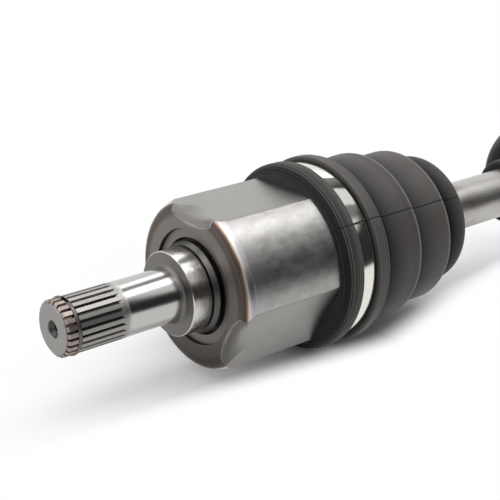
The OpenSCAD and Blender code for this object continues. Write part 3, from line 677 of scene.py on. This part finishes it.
def fold_keys(start, end, low, high, after, wall=0):
    """Keys of one fold, [station, radius] in mm: up from the valley, over a long dome, round a sharp rear edge
    and down to the next. With a wall they are those of the inner face."""
    width, low, high, after = end - start, low - wall, high - wall, after - wall
    edge = end - wall
    return [(start + width * u, low + (high - low) * v) for u, v in
            ((0.0, 0.0), (0.10, 0.34), (0.24, 0.62), (0.42, 0.84), (0.58, 0.95), (0.72, 1.0))] + [
        (edge - 3.3, high - 0.1), (edge - 2.6, high - 0.9), (edge - 2.25, high - 3.0), (edge - 1.4, after + 1.2)]


cuff_outer = curve_through([
    (cuff_from, cuff_inner), (cuff_from, seat_r - 0.6), (cuff_from + 0.6, seat_r + 0.5),
    (cuff_from + 1.6, lip_r - 1.6), (cuff_from + 2.6, lip_r - 0.9), (cuff_from + 3.2, lip_r - 0.85),
    (cuff_from + 3.7, lip_r - 0.25), (cuff_from + 4.6, lip_r), (band_from - 3.6, lip_r),
    (band_from - 3.0, lip_r - 0.4), (band_from - 2.4, lip_r - 0.05), (band_from - 1.2, lip_r - 0.05),
    (band_from - 0.6, lip_r - 0.5), (band_from - 0.3, lip_r - 1.3), (band_from - 0.2, seat_r + 0.2),
    (band_from, seat_r), (band_from + band_width / 2, seat_r), (band_from + band_width, seat_r),
    (band_from + band_width + 0.2, seat_r + 0.2), (band_from + band_width + 0.4, lip_r - 1.2),
    (band_from + band_width + 0.9, lip_r - 0.2), (band_from + band_width + 1.8, land_r),
    (cuff_to - 3.2, land_r), (cuff_to - 2.6, land_r - 0.1), (cuff_to - 2.1, land_r - 0.7),
    (cuff_to - 1.6, land_r - 0.75), (cuff_to - 0.9, land_r - 0.65), (cuff_to - 0.2, land_r - 1.0),
    (cuff_to + 0.9, land_r - 2.4), (cuff_to + 1.9, land_r - 4.2), (cuff_to + 2.8, valley_1 + 3.2),
    (cuff_to + 3.5, valley_1 + 1.2)] + fold_keys(cuff_to + 4.4, split_s, valley_1, crest_1, valley_2)
    + [(split_s, valley_2)], 5)
cuff_inside = curve_through([
    (cuff_from, cuff_inner), (cuff_from + 10, cuff_inner), (cuff_to - 4, cuff_inner), (cuff_to + 0.3, cuff_inner),
    (cuff_to + 1.2, cuff_inner - 1.2), (cuff_to + 1.3, valley_1 + 0.4)]
    + fold_keys(cuff_to + 4.4, split_s, valley_1, crest_1, valley_2, boot_wall)
    + [(split_s, valley_2 - boot_wall)], 3)
roll_outer = curve_through(fold_keys(split_s, cuff_to + 53.2, valley_2, crest_2, valley_3) + [
    (cuff_to + 52.8, valley_3 + 0.4), (cuff_to + 54.6, valley_3 - 0.2), (cuff_to + 56.2, valley_3 + 0.9),
    (cuff_to + 58.2, 30.8), (cuff_to + 61.4, 33.5), (cuff_to + 65.6, 34.4), (cuff_to + 69.2, 33.2),
    (cuff_to + 71.4, 30.2), (cuff_to + 71.9, 26.4), (cuff_to + 70.4, 21.8), (cuff_to + 68.2, 18.8),
    (cuff_to + 67.4, neck_r + 0.8), (cuff_to + 68.2, neck_r), (cuff_to + 71.6, neck_r), (cuff_to + 76, neck_r),
    (cuff_to + 79.8, neck_r), (cuff_to + 80.6, neck_r - 0.3), (cuff_to + 80.9, neck_r - 1.0),
    (cuff_to + 80.9, bar_r + 0.4)], 5)
roll_inside = curve_through(fold_keys(split_s, cuff_to + 53.2, valley_2, crest_2, valley_3, boot_wall) + [
    (cuff_to + 52.2, valley_3 - boot_wall + 0.3), (cuff_to + 54.8, valley_3 - boot_wall), (cuff_to + 58.6, 27.4),
    (cuff_to + 61.8, 31), (cuff_to + 65.6, 32.2), (cuff_to + 68.6, 31), (cuff_to + 69.6, 28.6),
    (cuff_to + 69.2, 26), (cuff_to + 67, 22.6), (cuff_to + 63.8, neck_r + 1.8), (cuff_to + 62.4, bar_r + 1.6),
    (cuff_to + 63.4, bar_r + 0.3), (cuff_to + 72, bar_r + 0.3), (cuff_to + 80.6, bar_r + 0.3)], 3)
inner_boot_front = moulded("inner_boot_front", cuff_outer, cuff_inside, [
    (cuff_from - 1, 1, 2.6), (cuff_to + 1.0, 1, 4.4), (split_s - 3.1, 1, 3.6)])
inner_boot_rear = moulded("inner_boot_rear", roll_outer, roll_inside, [
    (split_s - 3.1, 1, 3.6), (cuff_to + 50.1, 1, 9.2)])
for piece in (inner_boot_front, inner_boot_rear):
    piece.data.materials.append(boot_rubber.material)
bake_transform(inner_boot_front)
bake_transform(inner_boot_rear)
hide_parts("inner_boot")

# Bands: bright rolled strip laid round twice, so that its outer layer ends in a small step, and closed by a
# pinched ear. The two large ones sit on the cuffs, the others on the boots' necks and the damper's lip. The large
# ones carry a painted dark reflection along one stretch at dim_turn.
band_steel = Finish("band_steel", {"Metallic": 1.0})
_, band_y, band_z = band_steel.axes()
rolled = band_steel.noise(3.0, 3, (1, 0.04, 0.04))
smudge = band_steel.noise(0.25, 4)
# Painted dark reflection: on the large bands the colour is near black across a stretch round dim_turn
dim_turn = math.radians(219)
dim_half = 8
dim_across = band_y * math.cos(dim_turn) + band_z * math.sin(dim_turn)
dim_out = band_y * math.sin(dim_turn) - band_z * math.cos(dim_turn)
painted_dark_reflection = (1 - abs(dim_across).above(dim_half, dim_half + 5)) * dim_out.above(30, 34)
band_tone = band_steel.mix(0.5 * smudge, (0.80, 0.785, 0.725), (0.66, 0.65, 0.61))
band_steel.feed(Base_Color=band_steel.mix(0.92 * painted_dark_reflection, band_tone, (0.13, 0.128, 0.122)),
                Roughness=0.10 + 0.10 * (smudge - 0.4).most(0), Normal=band_steel.bump(rolled, 0.004))
lap_turn = math.radians(235.2)
lap_step = 0.28
band_corner = 0.22
ear_half = 3.5
ear_reach = 6.9
ear_inset = 0.3


def strip_outline(width, thick, edge):
    """Closed outline of a strip with rounded edges, as [along the shaft, out from the middle] in mm."""
    outline = []
    for number, (place, side) in enumerate([(edge, -1), (width - edge, -1), (width - edge, 1), (edge, 1)]):
        for turn in np.radians(180 + 90 * number + np.array([0, 30, 60, 90])):
            outline.append((place + edge * math.cos(turn), side * (thick / 2 - edge) + edge * math.sin(turn)))
        if number in (0, 2):
            outline.append((place - 0.3 * side, side * thick / 2))
    return np.array(outline)


def make_band(name, node, body, start, width, inner, thick, ear_at):
    """A closed band from station start: a ring whose outer layer steps down where the strip ends, and the ear,
    a strip bent round a loop of keys in the plane across the shaft. The ear stands ear_at degrees from straight
    down."""
    ear_turn = math.radians(ear_at)
    outline = strip_outline(width, thick, band_corner)
    turns = np.sort(np.concatenate([np.radians(np.arange(0, 360, 1.5)), lap_turn + np.radians([-0.12, 0.12])]))
    outside = (outline[:, 1] > 0)[:, None]
    stepped = (((turns - ear_turn) % (2 * math.pi)) < (lap_turn - ear_turn) % (2 * math.pi))[None, :]
    radii = inner + thick / 2 + outline[:, 1, None] - lap_step * thick * (outside & ~stepped)
    stations = np.broadcast_to(start + outline[:, 0, None], radii.shape)
    ring = np.stack([station(stations), radii * np.sin(turns) / 1000, -radii * np.cos(turns) / 1000], axis=-1)
    half = ear_half - thick / 2
    top = ear_reach - thick
    side = [(0.80 * half, 0.0), (0.70 * half, 0.9), (0.70 * half, 1.8), (0.94 * half, 0.52 * top),
            (0.93 * half, 0.70 * top), (0.62 * half, 0.93 * top)]
    loop = [(0.0, 0.0)] + side + [(0.0, top)] + [(-across, up) for across, up in side[::-1]] + [(0.0, 0.0)]
    path = curve_through(loop, 6)[:-1]
    step = np.roll(path, -1, axis=0) - np.roll(path, 1, axis=0)
    step /= np.linalg.norm(step, axis=1, keepdims=True)
    outline = strip_outline(width - 2 * ear_inset, 0.7 * thick, 0.2)
    across = path[None, :, 0] + step[None, :, 1] * outline[:, 1, None]
    up = inner + thick / 2 + path[None, :, 1] - step[None, :, 0] * outline[:, 1, None]
    stations = np.broadcast_to(start + ear_inset + outline[:, 0, None], up.shape)
    ear = np.stack([station(stations), (up * math.sin(ear_turn) + across * math.cos(ear_turn)) / 1000,
                    (across * math.sin(ear_turn) - up * math.cos(ear_turn)) / 1000], axis=-1)
    made = mesh_of(name, ring, ear)
    made.data.materials.append(band_steel.material)
    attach(made, body)
    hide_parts(node)


make_band("cuff_band", "inner_large_clamp", "housing", band_from, band_width, seat_r + 0.05, thick=1.0, ear_at=24)
make_band("neck_band", "inner_small_clamp", "shaft", cuff_to + 72.6, 7.0, neck_r + 0.3, thick=0.9, ear_at=75)

# Bar and damper: satin steel with brown traces of oil, and a smooth rubber damper moulded round its iron ring.
# The damper has a lip at each end, and its outboard lip takes a band.
bar_steel = Finish("bar_steel", {"Metallic": 1.0})
oil = bar_steel.noise(0.07, 4, (0.5, 1, 1))
scuff = bar_steel.noise(1.2, 4, (0.15, 1, 1))
drawn = bar_steel.noise(4.0, 2, (0.05, 1, 1))
colour = bar_steel.mix(scuff, (0.42, 0.41, 0.395), (0.56, 0.545, 0.525))
colour = bar_steel.mix(0.7 * oil.above(0.50, 0.68), colour, (0.33, 0.27, 0.22))
bar_steel.feed(Base_Color=colour, Roughness=0.27 + 0.16 * scuff, Normal=bar_steel.bump(drawn, 0.02))
dress("shaft_bar", bar_steel)
cast_iron = Finish("damper_iron", {"Metallic": 1.0, "Roughness": 0.6})
cast_iron.feed(Base_Color=cast_iron.mix(cast_iron.noise(0.7, 4), (0.15, 0.145, 0.14), (0.24, 0.23, 0.22)))
dress("damper_mass", cast_iron)

damper_from = 299.0
damper_to = 379.0
damper_lip_r = 18.5
damper_r = 37.45
damper_rubber = rubber_finish("damper_rubber", (0.078, 0.071, 0.066), (0.125, 0.115, 0.108), 0.45)
swell = [(15 + 22 * (1 - math.cos(a)), damper_lip_r + 0.6 + (damper_r - damper_lip_r - 0.6) * math.sin(a))
         for a in np.radians(np.linspace(6, 90, 12))]
damper_outer = curve_through([
    (damper_from, bar_r + 0.05), (damper_from, damper_lip_r - 1.2), (damper_from + 0.5, damper_lip_r - 0.3),
    (damper_from + 1.4, damper_lip_r), (damper_from + 5.5, damper_lip_r), (damper_from + 6.0, damper_lip_r - 0.4),
    (damper_from + 6.6, damper_lip_r - 0.05), (damper_from + 11, damper_lip_r), (damper_from + 14, damper_lip_r)]
    + [(damper_from + along_s, radius) for along_s, radius in swell]
    + [(damper_to - along_s, radius) for along_s, radius in swell[::-1]] + [
    (damper_to - 14.6, damper_lip_r), (damper_to - 14.0, damper_lip_r - 0.3),
    (damper_to - 13.8, damper_lip_r - 1.2), (damper_to - 13.4, damper_lip_r - 1.25),
    (damper_to - 4.4, damper_lip_r - 1.25), (damper_to - 4.0, damper_lip_r - 1.1),
    (damper_to - 3.8, damper_lip_r - 0.6), (damper_to - 0.8, damper_lip_r - 0.8),
    (damper_to - 0.1, damper_lip_r - 1.2), (damper_to, damper_lip_r - 2.0), (damper_to, bar_r + 0.05)], 4)
damper_bore = curve_through([(damper_from, bar_r + 0.02), (0.5 * (damper_from + damper_to), bar_r + 0.02),
                             (damper_to, bar_r + 0.02)], 3)
damper = moulded("damper", damper_outer, damper_bore)
damper.data.materials.append(damper_rubber.material)
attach(damper, "shaft")
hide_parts("damper_rubber")
make_band("damper_band", "damper_clamp", "shaft", damper_to - 12.6, 7.8, damper_lip_r - 1.15, thick=0.9, ear_at=75)

# Outer boot: the cuff on the bell and five narrowing folds down to the neck on the bar.
bell_from = 501.0
bell_r = 43.0
fold_pitch = 14.6
folds_from = bell_from - 8.6
outer_neck_from = folds_from - 5 * fold_pitch - 18
outer_band_from = bell_from + 6
outer_cuff_end = 523.0
crests = np.linspace(bell_r + 0.4, neck_r + 9, 5)
outer_folds = [(folds_from - fold_pitch * i - along_s, crests[i] + drop - 0.32 * along_s) for i in range(5)
               for along_s, drop in ((0.0, -4.8), (1.3, -2.6), (2.9, -0.9), (4.6, -0.15), (6.0, 0.0), (7.6, -0.2),
                                     (9.4, -1.1), (11.0, -2.8), (12.2, -4.9), (13.4, -5.4))]
outer_boot_outer = curve_through([
    (outer_cuff_end, bell_r + 0.05), (outer_cuff_end, lip_r - 1.6), (outer_cuff_end - 0.5, lip_r - 0.4),
    (outer_cuff_end - 1.5, lip_r), (outer_band_from + band_width + 1.4, lip_r),
    (outer_band_from + band_width + 0.7, lip_r - 0.4), (outer_band_from + band_width + 0.35, lip_r - 1.3),
    (outer_band_from + band_width + 0.25, seat_r + 0.2), (outer_band_from + band_width, seat_r),
    (outer_band_from + band_width / 2, seat_r), (outer_band_from, seat_r),
    (outer_band_from - 0.25, seat_r + 0.2), (outer_band_from - 0.4, lip_r - 1.0),
    (outer_band_from - 0.9, lip_r - 0.2), (outer_band_from - 1.8, land_r), (bell_from + 0.4, land_r),
    (bell_from - 0.4, land_r - 0.2), (bell_from - 0.9, land_r - 0.8), (bell_from - 1.8, land_r - 1.2),
    (bell_from - 3.0, land_r - 2.4), (bell_from - 4.4, bell_r + 0.6), (bell_from - 6.2, bell_r - 2.4),
    (bell_from - 7.4, bell_r - 4.2)] + outer_folds + [
    (outer_neck_from + 15.2, neck_r + 0.9), (outer_neck_from + 12.4, neck_r), (outer_neck_from + 10, neck_r),
    (outer_neck_from + 2, neck_r), (outer_neck_from + 0.8, neck_r - 0.1), (outer_neck_from + 0.1, neck_r - 0.6),
    (outer_neck_from, neck_r - 1.4), (outer_neck_from, bar_r + 0.35)], 4)
inner_folds = [(at, radius - boot_wall) for at, radius in outer_folds]
outer_boot_inside = curve_through([
    (outer_cuff_end, bell_r + 0.04), (bell_from + 10, bell_r + 0.04), (bell_from - 0.2, bell_r + 0.04),
    (bell_from - 0.4, bell_r - 2.0), (bell_from - 4.6, bell_r - 2.6), (bell_from - 7.2, bell_r - 5.6)]
    + inner_folds + [(outer_neck_from + 15.0, neck_r - 2.0), (outer_neck_from + 13.0, bar_r + 0.3),
                     (outer_neck_from + 6, bar_r + 0.3), (outer_neck_from + 0.3, bar_r + 0.3)], 3)
outer_boot = moulded("outer_boot_folds", outer_boot_outer, outer_boot_inside,
                     [(folds_from - fold_pitch * i - 9.6, -1, 3.4) for i in range(-1, 5)])
outer_boot.data.materials.append(boot_rubber.material)
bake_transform(outer_boot)
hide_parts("outer_boot")
make_band("outer_cuff_band", "outer_large_clamp", "bell", outer_band_from, band_width, seat_r + 0.05, thick=1.0,
          ear_at=-24)
make_band("outer_neck_band", "outer_small_clamp", "shaft", outer_neck_from + 2, 7.0, neck_r + 0.3, thick=0.9,
          ear_at=75)

# Bell and hub stub: machined steel, duller on the forged dome, with a cut thread at the end. The thread is a
# copy of the solid whose plain threaded cylinder gives way to a helical one.
thread_from = 603.4
thread_to = 620.5
thread_r = 11.9
thread_pitch = 1.5
thread_depth = 0.85
thread_floor_r = thread_r - 1.6
thread_run_out = 1.2
thread_row_count = 138
dome_from, dome_to = 532, 554.5
hub_spline_from, hub_spline_to = 561.5, 601
bell_steel = Finish("bell_steel", {"Metallic": 1.0})
s, r, _, _ = along(bell_steel)
cloud = bell_steel.noise(0.12, 3)
speckle = bell_steel.noise(1.6, 4, (0.5, 1, 1))
on_dome = s.above(dome_from, dome_from + 9) * (1 - s.above(dome_to - 1, dome_to)) * r.above(17.5, 18.5)
on_stub = s.above(dome_to, dome_to + 0.7)
colour = bell_steel.mix(on_dome, steel, bell_steel.mix(cloud, (0.28, 0.265, 0.25), (0.36, 0.345, 0.33)))
colour = bell_steel.mix(on_stub, colour, (0.50, 0.49, 0.475))
# Painted shade in the hub spline's grooves
hub_groove = on_stub * s.above(hub_spline_from - 1, hub_spline_from) * (
    1 - s.above(hub_spline_to, hub_spline_to + 0.6)) * (1 - r.above(12.9, 13.3))
colour = bell_steel.mix(hub_groove, colour, (0.14, 0.135, 0.13))
turned_lines = (1 - abs((s * 6.4).sine())) * (1 - on_dome)
bell_steel.feed(Base_Color=bell_steel.mix(0.25 * speckle, colour, (0.22, 0.215, 0.21)),
                Roughness=0.28 + 0.16 * on_dome + 0.1 * (speckle - 0.5),
                Normal=bell_steel.bump(0.5 * turned_lines + 0.4 * bell_steel.noise(5.0, 2), 0.02))
dress("outer_race", bell_steel)
bell = copy_of("outer_race", "bell_with_thread")
spots = np.empty(3 * len(bell.data.vertices))
bell.data.vertices.foreach_get("co", spots)
spots = 1000 * spots.reshape(-1, 3)
plain_r = np.abs(np.hypot(spots[:, 1], spots[:, 2]) - thread_r) < 0.06
on_thread = plain_r & (spots[:, 0] > 1000 * station(thread_from - 1))
edit_mesh(bell.data, lambda edited: bmesh.ops.delete(edited, geom=[
    face for face in edited.faces if all(on_thread[v.index] for v in face.verts)], context="FACES_ONLY"))
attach(bell, "bell")
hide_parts("outer_race")

thread_turns = np.radians(np.arange(0, 360, 5))[None, :]
thread_rows = np.linspace(thread_from, thread_to, thread_row_count)[:, None]
phase = (thread_rows / thread_pitch - thread_turns / (2 * math.pi)) % 1
cut = thread_depth * np.clip(1.35 * np.abs(2 * phase - 1) - 0.12, 0, 1)
fade = np.clip(np.minimum(thread_rows - thread_from, thread_to - thread_rows) / thread_run_out, 0, 1)
helix_r = thread_r - cut * fade
under_r = np.full_like(helix_r, thread_floor_r)
thread_r_rows = np.concatenate([helix_r, under_r[::-1]]) / 1000
thread_s_rows = np.concatenate([thread_rows, thread_rows[::-1]])
thread = mesh_of("hub_thread", np.stack([np.broadcast_to(station(thread_s_rows), thread_r_rows.shape),
                                         thread_r_rows * np.sin(thread_turns),
                                         -thread_r_rows * np.cos(thread_turns)], axis=-1))
thread.data.materials.append(bell_steel.material)
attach(thread, "bell")
